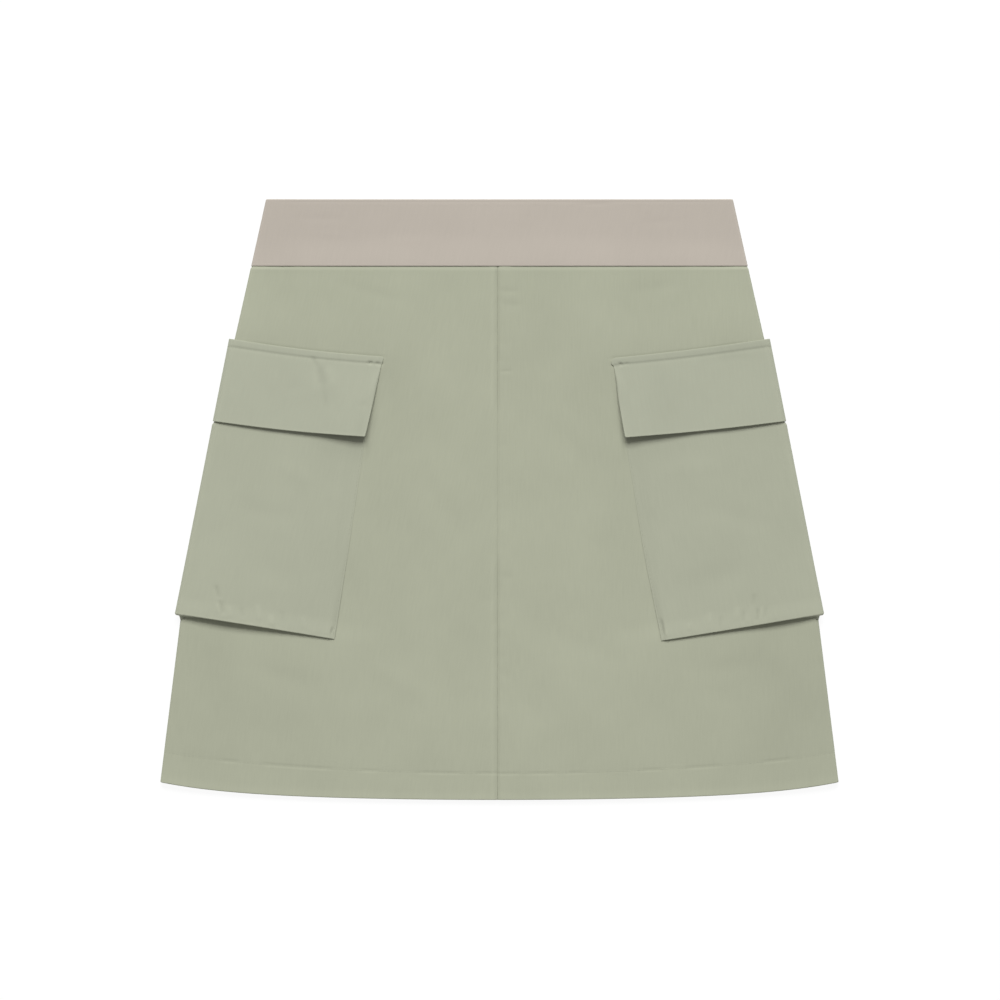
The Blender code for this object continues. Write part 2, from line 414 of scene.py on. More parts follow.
def fineTone(creases):
    # fine creases get a painted highlight on their ridges and painted shade in their hollows
    fine = [crease for crease in creases if crease[4] < skirt["fineCrease"]]
    return lambda x, down: skirt["creaseLight"] * creaseHeight(fine, x, down) / mm


def gathers(seed, length, spacing):
    # small puckers across a seam, uneven in place, width and height
    draw = random.Random(seed)
    puckers, along = [], 0.0
    while along < length:
        along += spacing * draw.uniform(0.4, 1.7)
        puckers.append((along, spacing * draw.uniform(0.22, 0.45), draw.uniform(-1, 1)))
    return puckers


def gathered(puckers, along):
    # how far the puckers lift the cloth at one point of the seam, from about -1 to 1
    near = [pucker for pucker in puckers if abs(along - pucker[0]) < 3 * pucker[1]]
    return sum(rise * bell(along - middle, width) for middle, width, rise in near)


def follow(rows, column, at):
    # a smooth line through a table's values
    last = len(rows) - 1
    k = 0
    while k < last - 1 and at > rows[k + 1][0]:
        k += 1
    first, second = rows[k], rows[k + 1]
    before, after = rows[max(k - 1, 0)], rows[min(k + 2, last)]
    width = second[0] - first[0]
    t = between(at, first[0], second[0])
    a, b = first[column], second[column]
    slope1 = (b - before[column]) / (second[0] - before[0]) * width
    slope2 = (after[column] - a) / (after[0] - first[0]) * width
    ends = a * (2 * t**3 - 3 * t**2 + 1) + b * (3 * t**2 - 2 * t**3)
    return ends + slope1 * (t**3 - 2 * t**2 + t) + slope2 * (t**3 - t**2)


def stops(start, parts):
    # positions from start on, evenly spaced within each (end, step)
    line = [start]
    for end, step in parts:
        count = max(1, round((end - start) / step))
        line += [start + (end - start) * k / count for k in range(1, count + 1)]
        start = end
    return line


def rings(radius):
    # distances from an edge at which a round edge turns by equal steps
    return [radius * (1 - math.cos(math.radians(turn))) for turn in (0, 20, 40, 60, 78, 100)]


def withRings(line, radius, endToo=True):
    # adds the stops of a round edge at the line's ends
    distances = rings(radius)
    low, high, clear = line[0], line[-1], distances[-1] * 1.4
    kept = [value for value in line if value > low + clear and (not endToo or value < high - clear)]
    last = [high - far for far in reversed(distances)] if endToo else []
    return [low + far for far in distances] + kept + last


def addObject(name, data):
    added = bpy.data.objects.new(name, data)
    bpy.context.scene.collection.objects.link(added)
    return added


def newPiece(name, shape, cloth):
    for face in shape.faces:
        face.smooth = True
    mesh = bpy.data.meshes.new(name)
    shape.to_mesh(mesh)
    shape.free()
    mesh.materials.append(cloth)
    return addObject(name, mesh)


sheets = {}


def layCloth(name, rows, stations, spot, cloth, node, slot, tone):
    # a sheet of cloth with both faces: the inner face is laid first, then drawn out to the outer
    width, rows = len(stations), rows[::-1]
    sheet = bmesh.new()
    bmesh.ops.create_grid(sheet, x_segments=width - 1, y_segments=len(rows) - 1, size=1)
    order = sheet.verts.layers.int.new("order")
    shade = sheet.verts.layers.float.new("tone")
    for index, vert in enumerate(sheet.verts):
        row, station = rows[index // width], stations[index % width]
        vert[order] = index
        vert[shade] = tone(row, station)
        vert.co = spot(row, station, True)
    drawn = bmesh.ops.extrude_face_region(sheet, geom=sheet.faces[:])
    outside = [None] * (width * len(rows))
    for vert in drawn["geom"]:
        if isinstance(vert, bmesh.types.BMVert):
            index = vert[order]
            vert.co = spot(rows[index // width], stations[index % width], False)
            outside[index] = vert.co.copy()
    # the cut, flat: measured along the rows and down the stations of the outer face
    across, along = [0.0] * len(outside), [0.0] * len(outside)
    area = 0.0
    for index, point in enumerate(outside):
        if index % width:
            across[index] = across[index - 1] + (point - outside[index - 1]).length
        if index >= width:
            along[index] = along[index - width] + (point - outside[index - width]).length
        if (index + 1) % width and index + width < len(outside):
            area += (outside[index + 1] - point).cross(outside[index + width] - point).length
    cut = sheet.loops.layers.uv.new("cut")
    for face in sheet.faces:
        for loop in face.loops:
            index = loop.vert[order]
            loop[cut].uv = (across[index], along[index])
    piece = newPiece(name, sheet, cloth)
    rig.ride(piece, "root")
    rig.replaces(piece, node)
    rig.slot(piece, slot)
    size = (max(across), max(along))
    sheets[name] = (piece, size, area)
    print(name, len(piece.data.polygons), "faces, flat", [round(s, 4) for s in size], "area", round(area, 5))


def layBoth(part, ending, rows, stations, spotOn, cloth, slot, toneOn):
    # the left and the right sheet
    for side in sides:
        node = part + "_" + side
        layCloth(node + ending, rows, stations[::sign[side]], spotOn(side), cloth, node, slot, toneOn(side))


# the colour and how much it varies, the ribs' spacing and their slant in degrees
finish = {
    "skirtTwill": {"colour": (0.388, 0.403, 0.305), "mottle": 0.030, "rib": 0.62 * mm, "slant": 62},
    "pocketTwill": {"colour": (0.384, 0.399, 0.307), "mottle": 0.026, "rib": 0.62 * mm, "slant": 62},
    "flapTwill": {"colour": (0.386, 0.402, 0.312), "mottle": 0.024, "rib": 0.62 * mm, "slant": 62},
    "bandCloth": {"colour": (0.454, 0.410, 0.357), "mottle": 0.022, "rib": 0.80 * mm, "slant": 0},
    "sageThread": {"colour": (0.360, 0.375, 0.284), "mottle": 0.030, "rib": 0.25 * mm},
}


def tint(colour, factor):
    return (*[min(value * factor, 1.0) for value in colour], 1)


def waveScale(period):
    # a wave texture of scale 1 repeats every 2 pi / 20
    return 2 * math.pi / 20 / period


def setInputs(tree, node, inputs):
    # each input gets a value, or a link from another node's output
    for key, value in inputs.items():
        if isinstance(value, bpy.types.NodeSocket):
            tree.links.new(value, node.inputs[key])
        else:
            node.inputs[key].default_value = value


def newMaterial(name, inputs):
    material = bpy.data.materials.new(name)
    material.use_nodes = True
    setInputs(material.node_tree, material.node_tree.nodes["Principled BSDF"], inputs)
    return material


def newNode(tree, kind, at, output, inputs, **settings):
    # adds a node and gives back the output that is used of it
    node = tree.nodes.new("ShaderNode" + kind)
    node.location = at
    for key, value in settings.items():
        setattr(node, key, value)
    setInputs(tree, node, inputs)
    return node.outputs[output]


def blend(tree, at, first, second, share):
    return newNode(tree, "Mix", at, "Result", {"Factor": share, "A": first, "B": second}, data_type="FLOAT")


def dyeRamp(tree, at, shade, look, spread, ends):
    # the finish's colour, from a little darker to a little lighter
    colour = newNode(tree, "ValToRGB", at, "Color", {"Fac": shade})
    for element, end, way in zip(colour.node.color_ramp.elements, ends, (-1, 1)):
        element.position = end
        element.color = tint(look["colour"], 1 + way * look["mottle"] * spread)
    return colour


def makeTwill(name):
    # fine twill: diagonal ribs crossed by the filling threads, with uneven yarn and dye
    look = finish[name]
    cloth = newMaterial(name, {
        "Roughness": 0.88, "Specular IOR Level": 0.25,
        "Sheen Weight": 0.10, "Sheen Roughness": 0.6, "Sheen Tint": tint(look["colour"], 1.8),
    })
    tree = cloth.node_tree
    cut = newNode(tree, "UVMap", (-1500, 0), "UV", {}, uv_map="cut")
    slant = {"Vector": cut, "Rotation": (0, 0, math.radians(look["slant"]))}
    turned = newNode(tree, "Mapping", (-1300, 0), "Vector", slant)
    ribs = newNode(tree, "TexWave", (-1080, 120), "Fac", {
        "Vector": turned, "Scale": waveScale(look["rib"]),
        "Distortion": 0.6, "Detail": 1, "Detail Scale": 0.35,
    }, wave_type="BANDS", bands_direction="X")
    filling = newNode(tree, "TexWave", (-1080, -180), "Fac", {
        "Vector": cut, "Scale": waveScale(look["rib"] * 0.7), "Distortion": 0.8, "Detail": 1,
    }, wave_type="BANDS", bands_direction="Y")
    weave = blend(tree, (-860, 0), ribs, filling, 0.35)
    # uneven yarns run down the cloth
    drawn = newNode(tree, "Mapping", (-1300, -420), "Vector", {"Vector": cut, "Scale": (900, 60, 1)})
    slub = newNode(tree, "TexNoise", (-1080, -420), "Fac", {"Vector": drawn, "Scale": 1, "Detail": 2})
    # the dye's broad, faint unevenness
    where = newNode(tree, "TexCoord", (-1500, -700), "Object", {})
    dye = newNode(tree, "TexNoise", (-1080, -700), "Fac", {
        "Vector": where, "Scale": 22, "Detail": 3, "Roughness": 0.55,
    })
    shade = blend(tree, (-430, -300), blend(tree, (-640, -420), dye, slub, 0.42), weave, 0.16)
    colour = dyeRamp(tree, (-220, -300), shade, look, 2, (0.25, 0.75))
    # the tone attribute scales the colour: painted highlights along edges, corners and crease ridges, painted shade
    # towards the sides, in seams and beside and under the flaps, and some plain tone
    worn = newNode(tree, "Attribute", (-220, -560), "Fac", {}, attribute_name="tone")
    shadedColour = newNode(tree, "VectorMath", (60, -300), "Vector", {0: colour, "Scale": worn}, operation="SCALE")
    bump = newNode(tree, "Bump", (-220, 60), "Normal", {
        "Strength": 0.5, "Distance": 0.05 * mm, "Height": blend(tree, (-640, 60), weave, slub, 0.3),
    })
    setInputs(tree, tree.nodes["Principled BSDF"], {"Base Color": shadedColour, "Normal": bump})
    return cloth


def makeThread(name):
    # sewing thread: two plies twisted together
    look = finish[name]
    thread = newMaterial(name, {"Roughness": 0.7, "Specular IOR Level": 0.3})
    tree = thread.node_tree
    where = newNode(tree, "TexCoord", (-1100, 0), "Object", {})
    plies = newNode(tree, "TexWave", (-860, 120), "Fac", {
        "Vector": where, "Scale": waveScale(look["rib"]), "Distortion": 0.5,
    }, wave_type="BANDS", bands_direction="DIAGONAL")
    fuzz = newNode(tree, "TexNoise", (-860, -180), "Fac", {"Vector": where, "Scale": 420, "Detail": 2})
    colour = dyeRamp(tree, (-520, -180), fuzz, look, 3, (0.3, 0.7))
    bump = newNode(tree, "Bump", (-260, 120), "Normal", {
        "Strength": 0.5, "Distance": 0.04 * mm, "Height": plies,
    })
    setInputs(tree, tree.nodes["Principled BSDF"], {"Base Color": colour, "Normal": bump})
    return thread


skirtTwill = makeTwill("skirtTwill")
pocketTwill = makeTwill("pocketTwill")
flapTwill = makeTwill("flapTwill")
bandCloth = makeTwill("bandCloth")
sageThread = makeThread("sageThread")
print("finishes made")

# what is pulled in or swells along a line is given by its height, place and width
flapSeam = {
    "down": 5.6 * mm,  # below the flap's top edge
    "pull": (0.30 * mm, 5.6 * mm, 1.5 * mm),  # it draws the cloth under it in
    "edgePull": (0.22 * mm, 0.3 * mm, 1.1 * mm),  # and so does the folded top edge
    "felt": (-4 * mm, 11 * mm),  # from here to here below the flap's top edge
    # the tacks at its inner end
    "tacks": {
        "left": (
            (-99.2, 123, -94.8, 123.2, 1.1, -0.74), (-93.6, 123.3, -89, 124, 1.05, -0.6),
            (-92.2, 120.3, -90.8, 120.5, 0.8, 0.24),
        ),
        "right": (
            (97.5, 123.4, 93.5, 123.8, 0.9, -0.4), (93, 124, 89, 124.3, 1.1, -0.74),
            (90.5, 121.3, 89, 121.5, 0.8, 0.22),
        ),
    },
}


def flapPull(side, row, station, x, down):
    # how far the cloth under a flap is drawn in
    far = (row - 1) * rowLength[1]
    if not flapSeam["felt"][0] < far < flapSeam["felt"][1]:
        return 0.0
    pull = ridge(far, *flapSeam["pull"]) + ridge(far, *flapSeam["edgePull"])
    return within(station, 0.985, 1.01, 1.85, 1.99) * pull - creaseHeight(flapSeam["tacks"][side], x, down)


panel = {
    "wall": 0.7 * mm,
    "hemWall": 1.3 * mm,  # turned up once
    "hemFrom": (3.815, 3.827),  # the rows over which it thickens
    "tuck": 0.022,  # the panel runs up this much of a row under the band
    "seamGap": 0.014 * mm,
    "bandDip": 0.31 * mm,  # the cloth goes down into the band's seam
    "bandDipSide": 1.8,  # and this many times as far near the side
    "bandDipBack": 0.75 * mm,
    "bandDipWide": (1.6 * mm, 4.1 * mm),  # it comes up again between these distances
    "belowBand": (0.03 * mm, 5.2 * mm, 1.6 * mm),  # and swells a little just past it
    "seamRadius": 0.12 * mm,
    "seamDip": (0.45 * mm, 0, 1.75 * mm),  # the middle seam's trough
    "seamDipTop": 0.4,  # this share of it under the band
    "seamSwell": (0.10 * mm, -4 * mm, 2.2 * mm),  # on its left
    "seamGather": 0.10 * mm,  # puckers on both sides
    "seamGatherWide": {"left": 4 * mm, "right": 7 * mm},
    "seamFlat": (1.50, 1.66, 2.50, 2.62),  # the rows between which it lies almost flat
    "seamFaint": 0.30,  # and how much of it still shows there
    "allowance": 9.5 * mm,  # pressed to the right of the middle seam
    "allowanceRise": 0.24 * mm,
    "hemStitch": 3.818,
    "hemDip": (0.28 * mm, 0, 0.68 * mm),
    "hemFaint": 0.22,  # this much of it shows, except
    # in the stretches where the hem's seam is pulled tight: from x to x, in mm
    "hemTight": (
        (-209, -197), (-177, -127), (-104, -92), (-60, -29), (-17, 15), (22, 41),
        (51, 63), (107, 121), (141, 165), (198, 219),
    ),
    "creases": (
        (1, 69.6, 15, 69, 2.3, -0.17), (1, 80, 19, 79.4, 3.3, -0.2),
        (0, 129.5, 10.5, 129, 1.1, -0.12), (0.5, 133, 10, 132.2, 1.3, 0.08),
        (1, 214, 11, 215.5, 3, -0.11), (1, 285, 13, 283.5, 2.8, -0.14),
        (1, 358, 10, 359, 2.8, -0.14), (-15, 301, -3, 303, 3, -0.12),
        (-79, 434, -78.5, 446, 1.6, 0.1), (-70, 433.5, -68.8, 445, 1.5, 0.09),
        (-62, 435, -61.2, 448, 1.7, 0.11), (-47.5, 434.5, -47, 446.5, 1.5, 0.08),
        (31, 434.5, 31.8, 447, 1.6, 0.09), (42, 434, 42.4, 447.5, 1.5, 0.1),
        (56, 434, 57.5, 446, 1.7, 0.1), (69, 433.5, 69.8, 446.5, 1.5, 0.08),
        (126, 429, 129, 441, 1.8, 0.09), (-148, 427, -150.5, 439, 1.8, 0.09),
        (-125, 62, -70, 78, 5, -0.18), (90, 70, 145, 64, 5.5, -0.2),
        (-62, 205, -20, 260, 9, -0.24), (35, 150, 75, 195, 8, 0.22),
        (25, 315, 85, 350, 9, -0.24), (-105, 345, -45, 380, 8, 0.22),
        (-190, 350, -135, 368, 7, -0.22), (145, 356, 200, 348, 7, -0.22),
    ),
    # the same on the underside, seen through from above
    "backCreases": (
        (-50, 110, 20, 150, 9, 0.45), (15, 185, 75, 235, 8, 0.4),
        (-90, 240, -30, 270, 7, 0.38), (-35, 325, 45, 345, 10, 0.45),
        (90, 365, 160, 380, 8, 0.35), (-180, 365, -110, 385, 7, 0.36),
        (5, 62, 55, 70, 6, 0.28), (-30, 434, -29, 446, 2, 0.14),
        (50, 434, 51.5, 445.5, 1.8, 0.12), (62, 433.5, 62.8, 445, 1.7, 0.12),
        (-112, 430, -113.5, 442, 1.8, 0.12),
    ),
    # up to this row or station, this far apart
    "rowSteps": (
        (0.12, 0.012), (0.42, 0.015), (0.95, 0.028), (1.13, 0.010),
        (2, 0.034), (3, 0.0145), (3.78, 0.0195), (4, 0.0095),
    ),
    "frontSteps": ((0.06, 0.0035), (0.14, 0.009), (1, 0.0225), (2, 0.0215)),
    "backSteps": ((4, 0.026), (5, 0.028)),
}

# how light each part of the panels' cloth is, 1 being the finish's own colour
panelLight = {
    "base": 1.004,
    "hemEdge": 0.040,  # lighter close to the hem's edge
    "lower": 0.010,
    "aboveHem": -0.022,
    # painted shade towards the sides of the upper part
    "upperSides": -0.036,
    "faded": {"left": 0.014, "right": -0.006, "back": 0.0},  # painted light in the middle of the upper part, painted shade on the right
    "dull": {"left": 0.010, "right": 0.045, "back": 0.020},  # painted shade near the sides of the lower part
    # painted shade close beside the flap's front edge: how much, and how far out
    "kept": {"left": (0.085, 8.0 * mm), "right": (0.062, 5.5 * mm)},
    "keptTop": 0.45,  # this share of both at the flap's top
    # painted shade in the middle seam's hollow, and a painted highlight on the ridge to its left
    "seamDust": (0.038, -0.4 * mm, 1.7 * mm),
    "seamRidge": (0.028, -4.2 * mm, 1.3 * mm),
}

seamGathers = {"left": gathers(4, skirt["length"], 9 * mm), "right": gathers(7, skirt["length"], 7 * mm)}


def hemPull(x):
    # how strongly the hem's seam shows: 1 where it is tight
    tight = [within(x / mm, start - 2, start + 2, end - 2, end + 2) for start, end in panel["hemTight"]]
    return mix(panel["hemFaint"], 1, max(tight))


def seamPull(row):
    # how strongly the middle seam shows: 1 where it is tight
    return mix(1, panel["seamFaint"], within(row, *panel["seamFlat"]))


def panelRelief(side, row, station, x, down):
    # soft shapes of the front's outer face
    relief = creaseHeight(panel["creases"], x, down) - flapPull(side, row, station, x, down)
    away = x - skirt["middleSeam"]
    dip = seamPull(row) * mix(panel["seamDipTop"], 1, ease(down - skirt["bandDepth"], 1.5 * mm, 8 * mm))
    relief -= dip * ridge(away, *panel["seamDip"])
    if abs(away) < 12 * mm:
        puckered = gathered(seamGathers[side], down) * bell(away, panel["seamGatherWide"][side])
        relief += panel["seamGather"] * puckered
    if side == "left":
        return relief + seamPull(row) * ridge(away, *panel["seamSwell"])
    return relief + panel["allowanceRise"] * within(away / panel["allowance"], 0.04, 0.18, 0.85, 1.3)


def panelSpot(side, layer=1):
    # where each point of a front (layer 1) or back (layer -1) panel lies
    seam = skirt["middleSeam"] + sign[side] * panel["seamGap"] / 2 if layer > 0 else None

    def spot(row, station, inside):
        half = side
        if station > 5:
            half, station = "left", 10 - station
        wall = mix(panel["wall"], panel["hemWall"], ease(row, *panel["hemFrom"]))
        fromBand = (row + panel["tuck"]) * rowLength[0]
        fromSide = abs(station - 2.5) * math.pi * skirt["foldOut"] - panel["seamGap"] / 2
        edge = round01((4 - row) * rowLength[3], wall / 2)
        edge *= round01(fromBand, wall / 2) * round01(fromSide, wall / 2)
        if layer > 0 and station < 0.5:
            fromSeam = tableOut(skirt["inner"][side], row) * station
            edge *= round01(fromSeam, panel["seamRadius"] * seamPull(row))
        dip = panel["bandDipBack"]
        if layer > 0:
            dip = panel["bandDip"] * mix(1, panel["bandDipSide"], ease(station, 1.6, 1.95))
        inset = setIn(wall, edge, inside) + dip * fade(fromBand, *panel["bandDipWide"])
        sewn = ridge((row - panel["hemStitch"]) * rowLength[3], *panel["hemDip"])
        x, down = lies(half, row, station, seam)
        if layer < 0:
            inset += sewn
            relief = creaseHeight(panel["backCreases"], x, down) * ease(station, 3.02, 3.2)
            return place(half, row, station, -inset, -relief - inset, -inset)
        inset += sewn * hemPull(x) - ridge(fromBand, *panel["belowBand"])
        relief = panelRelief(side, row, station, x, down) * onTop(station)
        return place(half, row, station, relief - inset, -inset, -inset, seam=seam)

    return spot


def panelTone(side):
    light = panelLight

    def tone(row, station):
        fromHem = (4 - row) * rowLength[3]
        fromSide = min(abs(station - 2.5), abs(station - 7.5))
        lower = ease(row, 2.6, 3.2)
        # painted shade near the sides of the lower part
        shade = light["base"] + lower * (light["lower"] - light["dull"][side] * fade(fromSide, 0.5, 1.6))
        shade += light["hemEdge"] * fade(fromHem, 2 * mm, 8 * mm)
        shade += light["aboveHem"] * within(row, 3.35, 3.6, 3.8, 3.86)
        # painted light in the upper middle, painted shade towards the upper sides
        upper = light["faded"][side] * fade(station, 0.3, 0.9) + light["upperSides"] * ease(station, 0.5, 1.1)
        shade += upper * within(row, 0.1, 0.35, 1.2, 2.0)
        if side == "back" or station >= 1:
            return shade
        # painted shade beside the flap's front edge
        inner = tableOut(skirt["inner"][side], row)
        kept, wide = light["kept"][side]
        share = mix(light["keptTop"], 1, ease(row, 1.2, 1.9))
        kept *= share * fade((1 - station) * inner / wide / share, 0.25, 1)
        shade -= kept * within(row, 1.10, 1.25, 2.03, 2.15)
        # painted shade in the middle seam's hollow and a painted highlight on the ridge to its left
        if station < 0.2:
            away = sign[side] * station * inner
            uneven = 1 + 0.5 * gathered(seamGathers[side], rowDown(side, row, abs(away)))
            seamed = ridge(away, *light["seamRidge"]) - uneven * ridge(away, *light["seamDust"])
            shade += seamed * seamPull(row)
        return shade

    return tone


def foldStops(first, last, count):
    return [first + (last - first) * k / count for k in range(1, count)]


panelRows = withRings(stops(-panel["tuck"], panel["rowSteps"]), panel["hemWall"] / 2 / rowLength[3])
sideRings = [far / (math.pi * skirt["foldOut"]) for far in rings(panel["wall"] / 2)]

frontLine = withRings(stops(0, panel["frontSteps"]), panel["seamRadius"] / skirt["innerWide"], endToo=False)
frontLine += foldStops(2, 2.5 - sideRings[-1], 10) + [2.5 - far for far in reversed(sideRings)]
layBoth("front", "_panel", panelRows, frontLine, panelSpot, skirtTwill, "skirt_twill", panelTone)

half = [2.5 + far for far in sideRings] + foldStops(2.5 + sideRings[-1], 3, 10) + stops(3, panel["backSteps"])
backLine = half + [10 - station for station in reversed(half[:-1])]
backSpot, backTone = panelSpot("right", -1), panelTone("back")
layCloth("back_panel", panelRows, backLine, backSpot, skirtTwill, "back", "skirt_twill", backTone)
print("panels laid")

band = {
    "depth": skirt["bandDepth"] - skirt["seamRoom"],
    "wall": 1.5 * mm,  # double, with a stiff layer between
    "lowWall": 0.7 * mm,  # where it is sewn to the skirt
    "lowFrom": (1.2 * mm, 3.2 * mm),  # and how far above its lower edge
    "ridge": 0.50 * mm,  # the seam allowances inside raise its lower part
    "ridgeFrom": (2 * mm, 24 * mm),
    "foldLine": (0.10 * mm, 2.0 * mm, 0.6 * mm),  # pressed in just under the top edge
    "light": 1.004,
    "lightLow": 0.035,  # painted light on its lower part, which the allowances tilt towards the lamp
    "lightMiddle": 0.022,
    # down to here, this far apart
    "rowSteps": ((0.006, 0.0008), (0.046, 0.0016)),
    "lowStep": 0.0008,
    "stationStep": 0.026,
    "creases": (
        (-150, 14, -115, 15, 2.2, -0.1), (-138, 26, -112, 27.5, 2.4, 0.09),
        (60, 4, 85, 3.6, 1.2, -0.12), (105, 18, 140, 16, 3, -0.1),
        (-15, 20, 30, 21.5, 4, -0.07), (-85, 32, -50, 31, 3, 0.08),
    ),
}


def bandSpot(layer):
    depth = band["depth"]

    def spot(down, station, inside):
        half, station = ("left", -station) if station < 0 else ("right", station)
        fromSide = (2.5 - station) * math.pi * skirt["foldOut"] - panel["seamGap"] / 2
        wall = mix(band["lowWall"], band["wall"], ease(depth - down, *band["lowFrom"]))
        edge = round01(down, wall / 2) * round01(depth - down, 1.25 * wall) * round01(fromSide, wall / 2)
        inset = setIn(wall, edge, inside)
        start = sideOut(down) - skirt["foldOut"]
        x = sign[half] * start * min(station, 2) / 2
        relief = band["ridge"] * fade(depth - down, *band["ridgeFrom"])
        relief += creaseHeight(band["creases"], x, down) - ridge(down, *band["foldLine"])
        high = mix(skirt["bandThick"], skirt["sideThick"], ease(station, skirt["sideFrom"], 2))
        high += swell(x, down) + relief * fade(station, 1.7, 1.98)
        y = skirt["length"] / 2 - down
        if station <= 2:
            return Vector((x, y, high - inset if layer > 0 else inset))
        angle = math.pi * (station - 2)
        out = start + math.sin(angle) * (skirt["foldOut"] - inset)
        return Vector((sign[half] * out, y, high / 2 + layer * math.cos(angle) * (high / 2 - inset)))

    return spot


def bandTone(down, station):
    middle = fade(abs(station), 0.7, 1.3) * fade(down, 28 * mm, 42 * mm)
    # painted light low on the band
    return band["light"] + band["lightLow"] * ease(down, 22 * mm, 46 * mm) + band["lightMiddle"] * middle


bandRows = withRings(stops(0, (*band["rowSteps"], (band["depth"], band["lowStep"]))), band["wall"] / 2)
half = stops(0, ((2, band["stationStep"]),)) + foldStops(2, 2.5 - 2 * sideRings[-1], 9)
half += [2.5 - 2 * far for far in reversed(sideRings)]
around = [-station for station in reversed(half[1:])] + half
for node, layer in (("waistband_front", 1), ("waistband_back", -1)):
    layCloth(
        node + "_cloth", bandRows, around[::layer], bandSpot(layer),
        bandCloth, node, "band_cloth", bandTone,
    )
print("waistband laid")

pocket = {
    "wall": 0.7 * mm,
    "edgeWall": 1.05 * mm,  # the allowance is turned under along its edges
    "edgeThin": 0.24 * mm,  # and pressed flat right at the edge
    # how far its front edge stands up: halfway up, and at the lower corner
    "edgeStand": {"left": (0.12 * mm, 0.42 * mm), "right": (0.14 * mm, 0.30 * mm)},
    "frontBow": {"left": 0.1 * mm, "right": 1.0 * mm},  # towards the middle of the front
    "pressed": (15 * mm, 5.0 * mm),  # over this width: along its height, and at the lower corners
    "lowerPart": (2.35, 2.95),  # the rows over which the one gives way to the other
    "allowance": 13 * mm,
    "allowanceRise": 0.06 * mm,
    "mouth": 1.60,  # the row of its open top, under the flap
    "mouthStand": 0.75 * mm,
    "stitch": 1.3 * mm,  # from the edge
    "stitchDip": (0.12 * mm, 1.3 * mm, 0.9 * mm),
    "stitchDipBack": (0.17 * mm, 1.3 * mm, 0.9 * mm),
    "turn": 1.0 * mm,  # how round the lower edge is
    "footIn": 0.8 * mm,  # the closing wall is tucked in by this much
    "footOut": 3.4 * mm,  # but at the side its foot slants out to the skirt
    "footStand": 0.15 * mm,
    "folded": 2.2 * mm,  # with the wall above it folded in under the edge
    "gather": 0.22 * mm,  # puckers above the lower edge
    "gatherWide": 6 * mm,
    # how far the lower edge is lifted, in mm: station, left, right
    "lift": (
        (1, 0.3, 0.3), (1.1, 0.5, 0.5), (1.3, 1.6, 0.9), (1.5, 3, 1.6),
        (1.7, 3.8, 2.7), (1.88, 3.4, 2.8), (2, 2.6, 2),
    ),
    "creases": {
        "left": (
            (-125.5, 321.5, -126.7, 329.2, 0.8, -0.7), (-124.2, 323.5, -125, 328.5, 0.7, 0.25),
            (-212.8, 289.5, -210, 301, 1.1, -0.55), (-209.4, 301, -207.4, 312.5, 1.1, -0.6),
            (-211.8, 303, -209.8, 312, 1, 0.34), (-203, 305, -201.5, 315, 1.8, 0.24),
            (-193.5, 306, -192.6, 315, 1.3, -0.26), (-181.5, 304, -180, 317, 1.5, 0.28),
            (-172, 312, -170.5, 321.5, 1.6, 0.24), (-164, 309, -162.5, 319, 1.4, -0.22),
            (-147.5, 313, -146.8, 323.5, 1.7, 0.18), (-200, 230, -150, 242, 7, -0.2),
            (-168, 198, -135, 216, 6, 0.16), (-190, 278, -140, 285, 9, -0.22),
        ),
        "right": (
            (121.4, 315, 123.8, 329.5, 0.95, -0.75), (124.7, 324, 125.4, 328.8, 0.7, 0.24),
            (194, 306.5, 193, 318.5, 1, -0.6), (196.6, 306, 195.5, 317, 1, 0.26),
            (191.2, 296, 189.8, 307, 1.7, -0.3), (199.8, 306, 198.8, 316, 1.3, -0.26),
            (183.2, 309, 182.2, 320, 1.1, -0.4), (179, 306, 177.5, 316, 1.7, 0.22),
            (166.2, 313, 165.2, 324, 1.2, -0.28), (158, 310, 157.2, 320, 1.5, 0.22),
            (142.5, 318, 141.8, 325, 1.3, 0.2), (150, 230, 205, 248, 7.5, -0.2),
            (125, 205, 170, 200, 6, 0.16), (140, 290, 195, 276, 9, -0.2),
        ),
    },
    "light": {"left": 1.019, "right": 1.009},
    "worn": {"left": 0.060, "right": 0.020},  # painted highlight along its lower edge
    # painted shade just under the flap: how much, and how far out
    "kept": {"left": (0.060, 45 * mm), "right": (0.036, 70 * mm)},
    "dust": (0.030, 1.3 * mm, 1.6 * mm),  # painted shade along the stitches of its front edge
    # up to this row or station, this far apart
    "rowSteps": ((1.98, 0.036), (2.03, 0.005), (2.80, 0.0148)),
    "turnStep": 0.0058,
    "steps": (0.0060, 0.0125, 0.024),
    "foldSteps": 22,
}
turnRow = 3 - pocket["turn"] / rowLength[2]
turnShare = 0.55  # of the rows past 3, this share is in the turn and the rest in the wall


def wrapStops(steps, foldSteps, radius):
    # stations of a piece that wraps round the side, from its front edge to its back edge
    front, side, back = steps
    edges = [far / skirt["outerWide"] for far in rings(radius)]
    clear = 1.3 * edges[-1]
    line = [1 + far for far in edges]
    line += [station for station in stops(1, ((1.1, front), (2, side))) if station > 1 + clear]
    line += foldStops(2, 3, foldSteps)
    line += [station for station in stops(3, ((4, back),)) if station < 4 - clear]
    return line + [4 - far for far in reversed(edges)]


def fromEdges(row, station):
    # how far a point of a wrapped piece is from its front edge, its back edge, and the nearer one
    inner = tableOut(skirt["inner"]["back"], row)
    width = foldStart(row) - inner
    front, back = (station - 1) * width, (4 - station) * width
    return front, back, min(front, back) if station < 2 or station > 3 else 1


